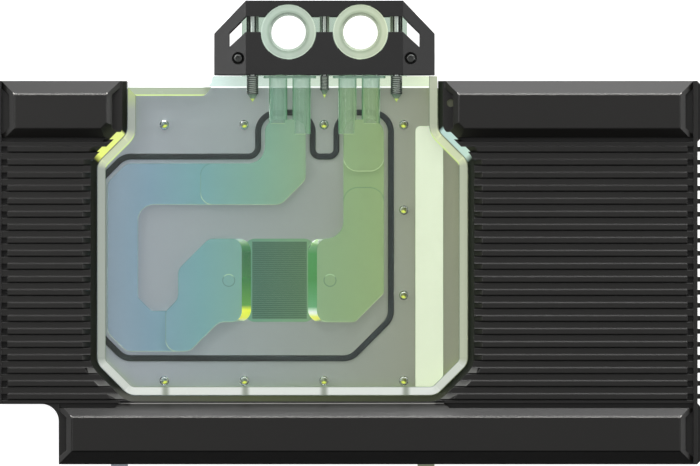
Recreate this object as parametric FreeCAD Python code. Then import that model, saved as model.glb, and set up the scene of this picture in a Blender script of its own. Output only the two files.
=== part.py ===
import FreeCAD, Part
import math
import os
from FreeCAD import Vector

# Full-cover liquid cooling cold plate for a graphics card, lying flat on its back.
# Millimetres. X runs along the card, Y across it, and Z up from the plane of the card's board.
# Places in X and Y are first taken from the centre of the chip contact, and shifted() moves
# every finished piece so that the origin is at the middle of the whole part's base.

# Heights
board_gap = 2.5
plate_thickness = 5.5
flow_top_thickness = 13.0
field_height = 19.6

# Window that the clear flow top shows through
window_left = 61.9
window_right = 64.0
window_bottom = 39.0
window_top = 65.7
window_cut = 10.7
window_round = 5.2
shoulder_left = 51.6
shoulder_right = 53.8
shoulder_left_y = 50.1
shoulder_right_y = 50.9
neck_left = 22.9
neck_rise = 3.8
neck_round = 2.8
neck_corner = 0.9
bevel_end_run = 2.3
bevel_end_round = 2.3
bevel = 2.85
flange_width = 3.4
flange_thickness = 5.0
flange_top = 44.0

# Terminal and its two ports
port_mid = 15.35
port_pitch = 24.5
port_height = 14.96
port_core_radius = 5.9
port_mouth_radius = 6.6
port_mouth_depth = 0.7
port_thread_length = 6.5
port_gallery_radius = 6.3
port_ring_radius = 9.28
port_ring_rise = 1.6
terminal_end = 3.6
terminal_depth = 23.9
terminal_thickness = 19.0
terminal_chamfer = 2.5
drill_radius = 3.1
drill_spacing = 7.95
drill_inset = 0.45
inner_drill_reach = 19.6
outer_drill_reach = 16.0

# Two-part cover round the terminal
cover_flat_inset = 1.4
cover_wing = 10.8
cover_rise = 0.4
cover_shoulder = 14.0
cover_length = 25.2
cover_wall = 1.3
cover_face = 2.0
cover_wing_drop = 3.6
cover_fit = 0.17
cover_slot_low = 14.5
cover_slot_width = 5.3
cover_arm_reach = 5.7
cover_arm_drop = 5.2
cover_screw_reach = 2.6
cover_screw_y = 5.95
pillar_radius = 2.2

# Seals
gasket_width = 2.0
gasket_height = 1.6
groove_clearance = 0.2
gasket_round = 0.45
seal_land = 1.4
loop_edge = 0.9
loop_bottom = 26.6
loop_top = 42.2
loop_cut = 7.9
loop_cut_right = 13.6
loop_round = 6.2
port_loop_rise = 57.2
port_loop_half = 9.3
port_loop_offset = 1.1
port_loop_round = 6.6
left_bend_round = 3.4
notch_round = 2.5
oval_length = 18.0
oval_height = 9.8
oval_wall = 1.5
oval_depth = 0.7

# Coolant chambers in the underside of the flow top
deep_depth = 8.5
shallow_depth = 6.5
chamber_round = 4.0
left_chamber_end = 26.8
island_top = 25.8
island_left = 48.2
island_bottom = 10.4
island_round = 5.6
island_cut = 4.6
left_chamber_cut = 8.4
feed_left = 34.5
feed_step = 38.7
feed_top_cut = 10.5
feed_neck_y = 6.3
feed_foot_right = 30.6
chamber_half = 14.2
ramp_foot = 9.75
ramp_run = 3.05
ramp_round = 4.2
ramp_narrowing = 0.6
right_upper_end = 37.2
right_lower_start = 31.6
right_round = 4.9
right_cut = 9.9
right_bend_round = 6.0

# Microfins
fin_length = 18.6
fin_stack = 26.4
fin_count = 40
fin_thickness = 0.3
fin_height = 3.0
pool_margin = 2.95
pool_round = 3.9
pad_spacing = 34.4
pad_radius = 2.1
pad_rise = 0.5

# Light strip
slot_left = 46.1
slot_width = 9.9
slot_top = 52.8
slot_margin = 1.5
slot_end_margin = 1.2
slot_depth = 6.0
slot_round = 2.0
light_clearance = 0.25
light_board_thickness = 1.0
light_count = 9
light_size = 3.5
light_thickness = 1.6
diffuser_thickness = 3.0
socket_length = 5.0
socket_width = 5.4
socket_offset = 0.8
socket_height = 1.8
socket_wall = 0.5
socket_pin = 0.4
socket_pin_pitch = 1.5

# Shroud
shroud_left = 96.0
shroud_right = 142.3
shroud_top = 67.9
shroud_bottom = 62.6
left_foot_y = 42.1
left_foot_x = 75.1
left_foot_round = 5.8
shroud_wall = 2.0
window_fit = 0.3
ledge_drop = 0.9
lip_drop = 3.5
skin_thickness = 3.5
bar_rise = 3.9
bar_skin = 3.7
bar_depth = 20.8
bar_slope = 4.35
bar_edge = 0.4
bar_edge_drop = 0.2
bar_end_slope = 4.35
bar_end_bevel = 2.0
end_strip = 1.4
end_strip_rise = 0.8
bar_corner_foot = 0.25
rim_width = 2.6
rib_pitch = 4.43
first_rib_gap = 1.3
ridge_width = 2.0
ridge_rise = 0.6
ridge_bevel = 0.3
rib_groove = 0.42
groove_depth = 2.1
window_band = 2.3
rim_band = 1.9
ridge_inset = 5.1
ramp_drop = 2.8
foot_groove = 1.6
foot_groove_reach = 60.4
low_groove_left = 54.4
low_groove_right = 56.3
notch_low = 0.9
notch_high = 3.4
notch_reach = 2.95
ridge_end = 2.1
end_pocket_depth = 2.2
stub_reach = 1.7
stub_low = 10.0
stub_high = 17.5
cavity_inset = 4.0
sight_hole_radius = 1.35
sight_hole_x = 58.3
sight_hole_y = 60.4

# Cold plate
plate_fit = 0.3
plate_right = 95.0
plate_corner = 6.0
lug_width = 5.8
lug_reach = 1.9
lug_chamfer = 0.8
lug_left_x = 54.7
lug_right_x = 50.0
chip_pad_x = 34.0
chip_pad_y = 30.0
chip_pad_rise = 0.6
chip_pad_round = 2.0
relief_depth = 1.5
relief_width = 7.0
relief_length = 56.0
relief_offset = 55.5

# Fasteners
top_screw_core = 1.5
top_screw_hole = 1.6
top_screw_head = 2.9
top_screw_length = 12.5
top_screw_x = 39.2
top_screw_y = 34.2
top_screw_pitch_x = 27.2
top_screw_pitch_y = 29.07
small_screw_core = 1.25
small_screw_hole = 1.6
small_screw_head = 2.8
shroud_screw_length = 10.5
boss_radius = 3.0
boss_margin = 4.2
boss_high_y = 30.0
boss_low_y = 22.0
boss_right_margin = 13.0
boss_right_high_y = 48.0
boss_right_low_y = 30.0
boss_bottom_margin = 9.3
boss_bottom_left_x = 30.0
boss_bottom_right_x = 40.0
thread_clearance = 0.02
drill_tip = 1.0
terminal_screw_core = 1.95
terminal_screw_play = 0.2
terminal_screw_head = 3.4
middle_screw_head = 2.75
terminal_screw_head_height = 3.2
terminal_screw_bite = 6.1
terminal_screw_tip = 2.7
tip_ratio = 0.85
middle_screw_core = 1.45
middle_screw_bite = 4.7
head_clearance = 0.15
socket_ratio = 0.5
cover_screw_core = 1.0
cover_screw_hole = 1.1
cover_screw_head = 1.65
cover_screw_head_height = 1.4
cover_screw_crown = 0.7
cover_screw_recess = 2.1
cover_screw_recess_depth = 1.8
cover_screw_length = 15.0
standoff_radius = 2.5
standoff_spigot = 1.5
standoff_spigot_length = 3.0
standoff_bore = 1.05
standoff_bore_depth = 4.5
chip_hole_spacing = 60.0
edge_hole_margin = 5.5

# Thermal pads
memory_pad = 1.0
power_pad = 2.0
memory_pad_width = 11.0
memory_pad_length = 44.0
memory_pad_gap = 1.0
memory_row_width = 36.0
memory_row_depth = 11.0
power_pad_width = 11.0
power_pad_length = 70.0
power_pad_x = 72.0
side_pad_width = 9.0
side_pad_length = 46.0
side_pad_x = 64.5
pad_corner = 0.5

# Derived heights
plate_low = board_gap
plate_high = plate_low + plate_thickness
top_high = plate_high + flow_top_thickness
mid_height = plate_high + flow_top_thickness / 2
terminal_low = mid_height - terminal_thickness / 2
terminal_high = mid_height + terminal_thickness / 2
cover_high = terminal_high + cover_face
groove_high = plate_high + gasket_height
slot_high = plate_high + slot_depth
shroud_height = field_height + bar_rise
ledge_height = field_height - ledge_drop
lip_height = field_height - lip_drop
skin_underside = ledge_height - skin_thickness
end_strip_height = field_height + end_strip_rise
ridge_height = field_height + ridge_rise
ramp_low = ridge_height - ramp_drop
band_slope = (ramp_low - lip_height) / (window_band - window_fit)
bar_cavity = shroud_height - bar_skin

# Derived places
terminal_half_width = port_pitch + terminal_end
cover_flat_half = terminal_half_width - cover_flat_inset
cover_half_width = cover_flat_half + cover_wing
cover_screw_spacing = 2 * (cover_flat_half + cover_screw_reach)
neck_top = window_top + neck_rise
port_y = neck_top + port_height
port_x = (port_mid - port_pitch / 2, port_mid + port_pitch / 2)
drill_mid = (port_x[0] + drill_inset, port_x[1] - drill_inset)
cover_low_y = neck_top + cover_rise
cover_shoulder_y = cover_low_y + cover_shoulder
cover_top_y = cover_low_y + cover_length
loop_left = window_left - loop_edge
loop_a = (port_x[0] - port_loop_offset - port_loop_half, port_x[0] - port_loop_offset + port_loop_half)
loop_b = (port_x[1] + port_loop_offset - port_loop_half, port_x[1] + port_loop_offset + port_loop_half)
land = gasket_width / 2 + seal_land
plate_left = left_foot_x - shroud_wall - plate_fit
plate_top = shroud_top - shroud_wall - plate_fit
plate_bottom = shroud_bottom - shroud_wall - plate_fit
lug_bottom = shroud_bottom + lug_reach
slot_right = slot_left + slot_width
field_top = shroud_top - bar_depth
field_bottom = -shroud_bottom + bar_depth
rib_start = field_top - first_rib_gap - ridge_width


def rounded_wire(corners, z):
    """Closed wire through corners (x, y, radius), each turned by a tangent arc."""
    count = len(corners)
    starts, arcs = [], []
    for index, (x, y, radius) in enumerate(corners):
        here = Vector(x, y, z)
        back = Vector(*corners[index - 1][:2], z) - here
        ahead = Vector(*corners[(index + 1) % count][:2], z) - here
        if radius <= 0:
            starts.append((here, here))
            arcs.append(None)
            continue
        half = back.getAngle(ahead) / 2
        run = radius / math.tan(half)
        first = here + back.normalize() * run
        last = here + ahead.normalize() * run
        toward = (back + ahead).normalize()
        middle = here + toward * (radius / math.sin(half) - radius)
        starts.append((first, last))
        arcs.append(Part.Arc(first, middle, last).toShape())
    edges = []
    for index in range(count):
        if arcs[index]:
            edges.append(arcs[index])
        begin = starts[index][1]
        end = starts[(index + 1) % count][0]
        if begin.distanceToPoint(end) > 1e-6:
            edges.append(Part.makeLine(begin, end))
    return Part.Wire(edges)


def prism(corners, low, high):
    face = Part.Face(rounded_wire(corners, low))
    return face.extrude(Vector(0, 0, high - low))


def tapered(sections):
    """Solid with flat sides through several (corners, z) sections."""
    wires = [rounded_wire(corners, z) for corners, z in sections]
    return Part.makeLoft(wires, True, True)


def grow(corners, margin):
    """Corners of the same outline, given anticlockwise, moved outwards by margin."""
    count = len(corners)
    grown = []
    for index, (x, y, radius) in enumerate(corners):
        before, after = corners[index - 1], corners[(index + 1) % count]
        one = Vector(x - before[0], y - before[1], 0).normalize()
        two = Vector(after[0] - x, after[1] - y, 0).normalize()
        turn = one.x * two.y - one.y * two.x
        out = Vector(one.y + two.y, -one.x - two.x, 0) * (margin / (1 + one.dot(two)))
        if radius > 0:
            radius = max(radius + margin * math.copysign(1, turn), 0.05)
        grown.append((x + out.x, y + out.y, radius))
    return grown


def rectangle(x0, x1, y0, y1, radius=0):
    return [(x0, y0, radius), (x1, y0, radius), (x1, y1, radius), (x0, y1, radius)]


def box(x0, x1, y0, y1, low, high):
    return Part.makeBox(x1 - x0, y1 - y0, high - low, Vector(x0, y0, low))


def post(x, y, radius, low, high):
    return Part.makeCylinder(radius, high - low, Vector(x, y, low))


def drilling(x, z, radius, low_y, high_y):
    """Round hole along Y."""
    return Part.makeCylinder(radius, high_y - low_y, Vector(x, low_y, z), Vector(0, 1, 0))


def turned(points, x, y):
    """Solid of revolution about a vertical line, from (radius, z) points."""
    outline = [Vector(radius, 0, z) for radius, z in points]
    outline.append(outline[0])
    solid = Part.Face(Part.makePolygon(outline)).revolve(Vector(), Vector(0, 0, 1), 360)
    solid.translate(Vector(x, y, 0))
    return solid


def joined(shapes):
    first, *rest = shapes
    return first.fuse(rest).removeSplitter() if rest else first


def hexagon(x, y, radius, low, high):
    ring = []
    for step in range(6):
        angle = math.radians(60 * step)
        ring.append((x + radius * math.cos(angle), y + radius * math.sin(angle), 0))
    return prism(ring, low, high)


# Outlines shared by several pieces

def window_outline(top):
    """The window's sides and cut corners, open upwards as far as top."""
    return [
        (-window_left + window_cut, -window_bottom, window_round),
        (window_right - window_cut, -window_bottom, window_round),
        (window_right, -window_bottom + window_cut, window_round),
        (window_right, shoulder_right_y - window_right + shoulder_right, window_round),
        (shoulder_right, shoulder_right_y, window_round),
        (shoulder_right, top, 0),
        (-shoulder_left, top, 0),
        (-shoulder_left, shoulder_left_y, window_round),
        (-window_left, shoulder_left_y - window_left + shoulder_left, window_round),
        (-window_left, -window_bottom + window_cut, window_round),
    ]


def neck_outline():
    """The neck with its rounded left side, and the end of the window's upper bevel beside it."""
    inner = window_top - bevel
    deeper = inner - bevel
    return [
        (-neck_left - 2 * bevel - bevel_end_run, deeper, 0),
        (shoulder_right, deeper, 0),
        (shoulder_right, neck_top, 0),
        (-neck_left, neck_top, neck_corner),
        (-neck_left, window_top, neck_round),
        (-neck_left - bevel_end_run / 10, window_top, 0),
        (-neck_left - bevel_end_run, inner, bevel_end_round),
        (-neck_left - 2 * bevel - bevel_end_run, inner, 0),
    ]


def gasket_loop():
    """Centre line of the main seal, anticlockwise."""
    return [
        (-loop_left + loop_cut, -loop_bottom, loop_round),
        (loop_b[1] - loop_cut_right, -loop_bottom, loop_round),
        (loop_b[1], -loop_bottom + loop_cut_right, loop_round),
        (loop_b[1], port_loop_rise, port_loop_round),
        (loop_b[0], port_loop_rise, port_loop_round),
        (loop_b[0], loop_top, notch_round),
        (loop_a[1], loop_top, notch_round),
        (loop_a[1], port_loop_rise, port_loop_round),
        (loop_a[0], port_loop_rise, port_loop_round),
        (loop_a[0], loop_top, left_bend_round),
        (-loop_left + loop_cut, loop_top, loop_round),
        (-loop_left, loop_top - loop_cut, loop_round),
        (-loop_left, -loop_bottom + loop_cut, loop_round),
    ]


def band(corners, half_width, low, high):
    """Strip of even width that follows a closed line."""
    outside = prism(grow(corners, half_width), low, high)
    return outside.cut(prism(grow(corners, -half_width), low, high))


def oval(x, length, height, low_y, high_y):
    """Flat-sided oval along Y, centred at the flow top's mid height."""
    radius = height / 2
    reach = length / 2 - radius
    middle = Part.makeBox(2 * reach, high_y - low_y, height, Vector(x - reach, low_y, mid_height - radius))
    ends = [drilling(x + side * reach, mid_height, radius, low_y, high_y) for side in (-1, 1)]
    return joined([middle] + ends)


def slot_outline():
    """Light strip's slot, which keeps its margin from the window's cut corners."""
    diagonal = slot_margin * math.sqrt(2)
    upper = shoulder_right + shoulder_right_y - diagonal
    lower = window_right - window_cut + window_bottom - diagonal
    right_of_top = shoulder_right - slot_margin
    low_y = -window_bottom + slot_end_margin
    return [
        (slot_left, low_y, slot_round),
        (lower + low_y, low_y, 0),
        (slot_right, slot_right - lower, 0),
        (slot_right, upper - slot_right, 0),
        (right_of_top, upper - right_of_top, 0),
        (right_of_top, slot_top, 0),
        (slot_left, slot_top, slot_round),
    ]


# Places of repeated fasteners

def top_screw_places():
    columns = [-top_screw_x + top_screw_pitch_x * step for step in range(4)]
    rows = [-top_screw_y + top_screw_pitch_y * step for step in range(4)]
    places = [(x, rows[0]) for x in columns]
    places += [(x, rows[3]) for x in columns]
    places += [(columns[3], y) for y in rows[1:3]]
    return places


def shroud_screw_places():
    left = -plate_left + boss_margin
    right = plate_right - boss_right_margin
    bottom = -plate_bottom + boss_bottom_margin
    return [
        (left, boss_high_y),
        (left, -boss_low_y),
        (right, boss_right_high_y),
        (right, -boss_right_low_y),
        (-boss_bottom_left_x, bottom),
        (boss_bottom_right_x, bottom),
    ]


def chip_hole_places():
    half = chip_hole_spacing / 2
    return [(x, y) for x in (-half, half) for y in (-half, half)]


def edge_hole_places():
    left = -plate_left + edge_hole_margin
    right = plate_right - edge_hole_margin
    low = -plate_bottom + edge_hole_margin
    high = plate_top - edge_hole_margin
    return [(x, y) for x in (left, right) for y in (low, high)]


def cover_screw_places():
    half = cover_screw_spacing / 2
    y = neck_top + cover_screw_y
    return [(port_mid - half, y), (port_mid + half, y)]


# Cold plate

def countersink(x, y, hole, head, low, high):
    """Clearance hole with a cone for a flat head that ends flush with the face at low."""
    slope = head - hole
    points = [(0, low), (head, low), (hole, low + slope), (hole, high), (0, high)]
    return turned(points, x, y)


def microfins():
    gap = fin_stack - fin_count * fin_thickness
    pitch = fin_thickness + gap / (fin_count - 1)
    start = -fin_stack / 2
    half = fin_length / 2
    floor = plate_high - fin_height
    fins = []
    for index in range(fin_count):
        low = start + index * pitch
        fins.append(box(-half, half, low, low + fin_thickness, floor, plate_high))
    return fins


def make_cold_plate():
    outline = rectangle(-plate_left, plate_right, -plate_bottom, plate_top, plate_corner)
    plate = prism(outline, plate_low, plate_high)
    for centre in (-lug_left_x, lug_right_x):
        half = lug_width / 2
        lug = [
            (centre - half + lug_chamfer, -lug_bottom, 0),
            (centre + half - lug_chamfer, -lug_bottom, 0),
            (centre + half, -lug_bottom + lug_chamfer, 0),
            (centre + half, -plate_bottom + plate_corner, 0),
            (centre - half, -plate_bottom + plate_corner, 0),
            (centre - half, -lug_bottom + lug_chamfer, 0),
        ]
        plate = plate.fuse(prism(lug, plate_low, plate_high))
    chip_pad = rectangle(-chip_pad_x / 2, chip_pad_x / 2, -chip_pad_y / 2, chip_pad_y / 2, chip_pad_round)
    plate = plate.fuse(prism(chip_pad, plate_low - chip_pad_rise, plate_low + chip_pad_rise))
    for side in (-1, 1):
        pad = post(side * pad_spacing / 2, 0, pad_radius, plate_high - pad_rise, plate_high + pad_rise)
        plate = plate.fuse(pad)
    half_x = fin_length / 2 + pool_margin
    pool = rectangle(-half_x, half_x, -chamber_half, chamber_half, pool_round)
    plate = plate.cut(prism(pool, plate_high - fin_height, plate_high + pad_rise))
    plate = plate.fuse(microfins())
    cutters = []
    for x, y in top_screw_places():
        cutters.append(countersink(x, y, top_screw_hole, top_screw_head, plate_low, plate_high))
    for x, y in shroud_screw_places():
        cutters.append(countersink(x, y, small_screw_hole, small_screw_head, plate_low, plate_high))
    for x, y in chip_hole_places() + edge_hole_places():
        cutters.append(post(x, y, standoff_spigot, plate_low, plate_low + standoff_spigot_length))
    for side in (-1, 1):
        centre = side * relief_offset
        half = relief_width / 2
        relief = rectangle(centre - half, centre + half, -relief_length / 2, relief_length / 2, half - 0.5)
        cutters.append(prism(relief, plate_low, plate_low + relief_depth))
    return plate.cut(cutters).removeSplitter()


# Flow top

def left_chamber():
    wet = grow(gasket_loop(), -land)
    top = port_loop_rise - land
    side = (loop_a[0] + land, loop_a[1] - land)
    return [
        (side[1], top, wet[7][2]),
        (side[0], top, wet[8][2]),
        (side[0], loop_top - land, wet[9][2]),
        (-left_chamber_end, loop_top - land, chamber_round),
        (-left_chamber_end, island_top, chamber_round),
        (side[1] - left_chamber_cut, island_top, chamber_round),
        (side[1], island_top + left_chamber_cut, chamber_round),
    ]


def left_channel():
    """Shallow channel that wraps round the island on the left."""
    wet = grow(gasket_loop(), -land)
    inside_left = -left_chamber_end + chamber_round
    inside_feed = -feed_step + chamber_round
    return [
        (inside_left, loop_top - land, 0),
        wet[10],
        wet[11],
        wet[12],
        wet[0],
        (inside_feed, -loop_bottom + land, 0),
        (inside_feed, -island_bottom, 0),
        (-island_left + island_cut, -island_bottom, 1.0),
        (-island_left, -island_bottom + island_cut, 1.0),
        (-island_left, island_top, island_round),
        (inside_left, island_top, 0),
    ]


def feed_chamber():
    """Deep chamber that leads to the left end of the fins."""
    bottom = -loop_bottom + land
    step_rise = feed_step - feed_left
    end = -ramp_foot - ramp_run - ramp_round
    return [
        (end, chamber_half, 0),
        (-feed_left + feed_top_cut, chamber_half, chamber_round),
        (-feed_left, chamber_half - feed_top_cut, chamber_round),
        (-feed_left, -feed_neck_y, chamber_round),
        (-feed_step, -feed_neck_y - step_rise, 2.0),
        (-feed_step, bottom, chamber_round),
        (-feed_foot_right, bottom, chamber_round),
        (-feed_foot_right - bottom - chamber_half, -chamber_half, chamber_round),
        (end, -chamber_half, 0),
    ]


def right_upper_chamber():
    side = (loop_b[0] + land, loop_b[1] - land)
    top = port_loop_rise - land
    return rectangle(side[0], side[1], right_upper_end, top, right_round)


def right_link():
    side = (loop_b[0] + land, loop_b[1] - land)
    reach = right_round
    return rectangle(side[0], side[1], right_lower_start - reach, right_upper_end + reach)


def right_lower_chamber():
    side = (loop_b[0] + land, loop_b[1] - land)
    start = ramp_foot + ramp_run + ramp_round
    return [
        (start, -chamber_half, 0),
        (side[1] - right_cut, -chamber_half, 2.0),
        (side[1], -chamber_half + right_cut, 2.0),
        (side[1], right_lower_start, right_round),
        (side[0], right_lower_start, right_round),
        (side[0], chamber_half, right_bend_round),
        (start, chamber_half, 0),
    ]


def ramp(side):
    """End of a chamber whose wall leans down towards the fins."""
    deep_end = ramp_foot + ramp_run
    back = deep_end + 2 * ramp_round
    sections = []
    foot = (ramp_foot, ramp_round, plate_high)
    head = (deep_end, ramp_round - ramp_narrowing, plate_high + deep_depth)
    for end, radius, z in (foot, head):
        corners = [
            (side * back, -chamber_half, 0),
            (side * end, -chamber_half, radius),
            (side * end, chamber_half, radius),
            (side * back, chamber_half, 0),
        ]
        sections.append((corners, z))
    return tapered(sections)


def make_flow_top():
    body = prism(window_outline(window_top), plate_high, top_high)
    body = body.makeChamfer(bevel, [edge for edge in body.Edges if edge.BoundBox.ZMin > top_high - 0.01])
    neck = prism(neck_outline(), plate_high, top_high)
    side = [edge for edge in neck.Edges if edge.BoundBox.XMin > shoulder_right - 0.01]
    neck = neck.makeChamfer(bevel, [edge for edge in side if edge.BoundBox.ZMin > top_high - 0.01])
    body = body.fuse(neck)
    flange = prism(grow(window_outline(window_top), flange_width), plate_high, plate_high + flange_thickness)
    below = box(-2 * window_left, 2 * window_right, -2 * window_bottom, flange_top, plate_high, top_high)
    body = body.fuse(flange.common(below)).removeSplitter()
    cutters = [band(gasket_loop(), gasket_width / 2 + groove_clearance, plate_high, groove_high)]
    for outline in (left_chamber(), feed_chamber(), right_upper_chamber(), right_lower_chamber()):
        cutters.append(prism(outline, plate_high, plate_high + deep_depth))
    for outline in (left_channel(), right_link()):
        cutters.append(prism(outline, plate_high, plate_high + shallow_depth))
    cutters += [ramp(-1), ramp(1)]
    cutters.append(prism(slot_outline(), plate_high, slot_high))
    for index, middle in enumerate(drill_mid):
        for side in (-1, 1):
            inner = (index == 0) == (side == 1)
            reach = inner_drill_reach if inner else outer_drill_reach
            x = middle + side * drill_spacing / 2
            cutters.append(drilling(x, mid_height, drill_radius, neck_top - reach, neck_top))
        cutters.append(oval(middle, oval_length, oval_height, neck_top - oval_depth, neck_top))
    for x, y in top_screw_places():
        end = plate_low + top_screw_length
        core = top_screw_core + thread_clearance
        points = [(0, plate_high), (core, plate_high), (core, end), (0, end + drill_tip)]
        cutters.append(turned(points, x, y))
    for x, core, head, bite in terminal_screw_rows():
        hole = core + thread_clearance
        cutters.append(drilling(x, mid_height, hole, neck_top - bite, neck_top))
        point = Vector(x, neck_top - bite - terminal_screw_tip, mid_height)
        cutters.append(Part.makeCone(0, hole * tip_ratio, terminal_screw_tip, point, Vector(0, 1, 0)))
    return body.cut(cutters).removeSplitter()


def make_main_gasket():
    ring = band(gasket_loop(), gasket_width / 2, plate_high, groove_high)
    rims = [edge for edge in ring.Edges if edge.BoundBox.ZMin > groove_high - 0.01]
    return ring.makeFillet(gasket_round, rims)


# Terminal

def terminal_screw_rows():
    return [
        (port_mid - port_pitch, terminal_screw_core, terminal_screw_head, terminal_screw_bite),
        (port_mid, middle_screw_core, middle_screw_head, middle_screw_bite),
        (port_mid + port_pitch, terminal_screw_core, terminal_screw_head, terminal_screw_bite),
    ]


def screw_seat_y():
    return neck_top + terminal_depth - terminal_screw_head_height - head_clearance


def port_bore(x):
    """Threaded at both faces, with a wider gallery between the threads."""
    half = terminal_thickness / 2 + port_ring_rise
    threads = half - port_thread_length
    profile = [
        (0, -half),
        (port_mouth_radius, -half),
        (port_core_radius, -half + port_mouth_depth),
        (port_core_radius, -threads),
        (port_gallery_radius, -threads),
        (port_gallery_radius, threads),
        (port_core_radius, threads),
        (port_core_radius, half - port_mouth_depth),
        (port_mouth_radius, half),
        (0, half),
    ]
    bore = turned(profile, x, port_y)
    bore.translate(Vector(0, 0, mid_height))
    return bore


def make_terminal_block():
    left = port_mid - terminal_half_width
    right = port_mid + terminal_half_width
    top = neck_top + terminal_depth
    outline = [
        (left, neck_top, 0),
        (right, neck_top, 0),
        (right, top - terminal_chamfer, 0),
        (right - terminal_chamfer, top, 0),
        (left + terminal_chamfer, top, 0),
        (left, top - terminal_chamfer, 0),
    ]
    block = prism(outline, terminal_low, terminal_high)
    for x in port_x:
        low = terminal_low - port_ring_rise
        high = terminal_high + port_ring_rise
        block = block.fuse(post(x, port_y, port_ring_radius, low, high))
    cutters = [port_bore(x) for x in port_x]
    for middle in drill_mid:
        for side in (-1, 1):
            x = middle + side * drill_spacing / 2
            cutters.append(drilling(x, mid_height, drill_radius, neck_top, port_y))
    for x, core, head, bite in terminal_screw_rows():
        cutters.append(drilling(x, mid_height, core + terminal_screw_play, neck_top, top))
        cutters.append(drilling(x, mid_height, head + head_clearance, screw_seat_y(), top))
    for x, y in cover_screw_places():
        cutters.append(post(x, y, pillar_radius + cover_rise, terminal_low, terminal_high))
    return block.cut(cutters).removeSplitter()


def cover_outline(inset):
    left = port_mid - cover_half_width + inset
    right = port_mid + cover_half_width - inset
    turn = math.atan2(cover_top_y - cover_shoulder_y, cover_half_width - cover_flat_half)
    flat = cover_flat_half - inset * math.tan(turn / 2)
    shoulder = cover_shoulder_y - inset * math.tan((math.pi / 2 - turn) / 2)
    return [
        (left, cover_low_y - inset, 0),
        (right, cover_low_y - inset, 0),
        (right, shoulder, 0),
        (port_mid + flat, cover_top_y - inset, 0),
        (port_mid - flat, cover_top_y - inset, 0),
        (left, shoulder, 0),
    ]


def cover_roof(drop):
    """Everything under the front face, which leans back on both wings."""
    top = cover_high - drop
    low = top - cover_wing_drop
    half = cover_half_width
    points = [
        Vector(port_mid - half, 0, mid_height),
        Vector(port_mid + half, 0, mid_height),
        Vector(port_mid + half, 0, low),
        Vector(port_mid + cover_flat_half, 0, top),
        Vector(port_mid - cover_flat_half, 0, top),
        Vector(port_mid - half, 0, low),
    ]
    face = Part.Face(Part.makePolygon(points + points[:1]))
    return face.extrude(Vector(0, 2 * cover_top_y, 0))


def cover_slot():
    """Arched slot whose arms run down the wings."""
    high = cover_low_y + cover_slot_low + cover_slot_width
    low = cover_low_y + cover_slot_low
    left = port_mid - cover_flat_half
    right = port_mid + cover_flat_half
    arm = cover_slot_width - 0.5
    return [
        (left - cover_arm_reach, low - cover_arm_drop, 0),
        (left, low, 0),
        (right, low, 0),
        (right + cover_arm_reach, low - cover_arm_drop, 0),
        (right + cover_arm_reach, low - cover_arm_drop + arm, 0),
        (right, high, 0),
        (left, high, 0),
        (left - cover_arm_reach, low - cover_arm_drop + arm, 0),
    ]


def make_front_cover():
    tall = cover_high + cover_face
    shell = prism(cover_outline(0), mid_height, tall).common(cover_roof(0))
    inside = prism(cover_outline(cover_wall), mid_height, tall).common(cover_roof(cover_face))
    reach = terminal_half_width + cover_fit
    back = neck_top + terminal_depth + cover_fit
    room = box(port_mid - reach, port_mid + reach, neck_top, back, mid_height, terminal_high)
    shell = shell.cut([inside, room])
    for x, y in cover_screw_places():
        pillar = post(x, y, pillar_radius, mid_height, cover_high).common(cover_roof(cover_face / 2))
        shell = shell.fuse(pillar)
    cutters = [prism(cover_slot(), mid_height, tall)]
    for x in port_x:
        cutters.append(post(x, port_y, port_ring_radius + cover_fit, mid_height, tall))
    for x, y in cover_screw_places():
        cutters.append(post(x, y, cover_screw_hole, mid_height, tall))
        recess_floor = cover_screw_seat()
        cutters.append(post(x, y, cover_screw_recess, recess_floor, tall))
    return shell.cut(cutters).removeSplitter()


def cover_screw_seat():
    """Height of the face that the cover screws' heads bear on."""
    fall = cover_wing_drop * cover_screw_reach / cover_wing
    return cover_high - fall - cover_screw_recess_depth


def make_rear_cover():
    rear = make_front_cover().mirror(Vector(0, 0, mid_height), Vector(0, 0, 1))
    plugs = []
    for x, y in cover_screw_places():
        low = terminal_low - cover_face / 2
        end = cover_screw_seat() - cover_screw_length
        sleeve = post(x, y, pillar_radius, low, mid_height)
        bore = post(x, y, cover_screw_core + thread_clearance, end, mid_height)
        plugs.append(sleeve.cut(bore))
    return rear.fuse(plugs).removeSplitter()


def make_terminal_gasket(middle):
    low = neck_top - oval_depth
    ring = oval(middle, oval_length - 0.2, oval_height - 0.2, low, neck_top)
    hollow = oval(middle, oval_length - 2 * oval_wall, oval_height - 2 * oval_wall, low, neck_top)
    return ring.cut(hollow)


# Fasteners

def cap_screw(x, core, radius, bite):
    """Socket head screw along Y that ties the terminal to the neck."""
    seat = screw_seat_y()
    shank = drilling(x, mid_height, core, neck_top - bite + thread_clearance, seat)
    head = drilling(x, mid_height, radius, seat, seat + terminal_screw_head_height)
    screw = shank.fuse(head)
    socket = hexagon(0, 0, core * 0.85, 0, terminal_screw_head_height * socket_ratio)
    socket.rotate(Vector(), Vector(1, 0, 0), -90)
    socket.translate(Vector(x, seat + terminal_screw_head_height * (1 - socket_ratio), mid_height))
    return screw.cut(socket).removeSplitter()


def flat_screw(x, y, core, head, length):
    """Flat head screw put in from the underside of the cold plate."""
    slope = head - core - head_clearance
    points = [
        (0, plate_low),
        (head - head_clearance, plate_low),
        (core, plate_low + slope),
        (core, plate_low + length - thread_clearance),
        (0, plate_low + length - thread_clearance),
    ]
    screw = turned(points, x, y)
    socket = hexagon(x, y, core * 0.8, plate_low, plate_low + slope * 0.8)
    return screw.cut(socket)


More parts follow.
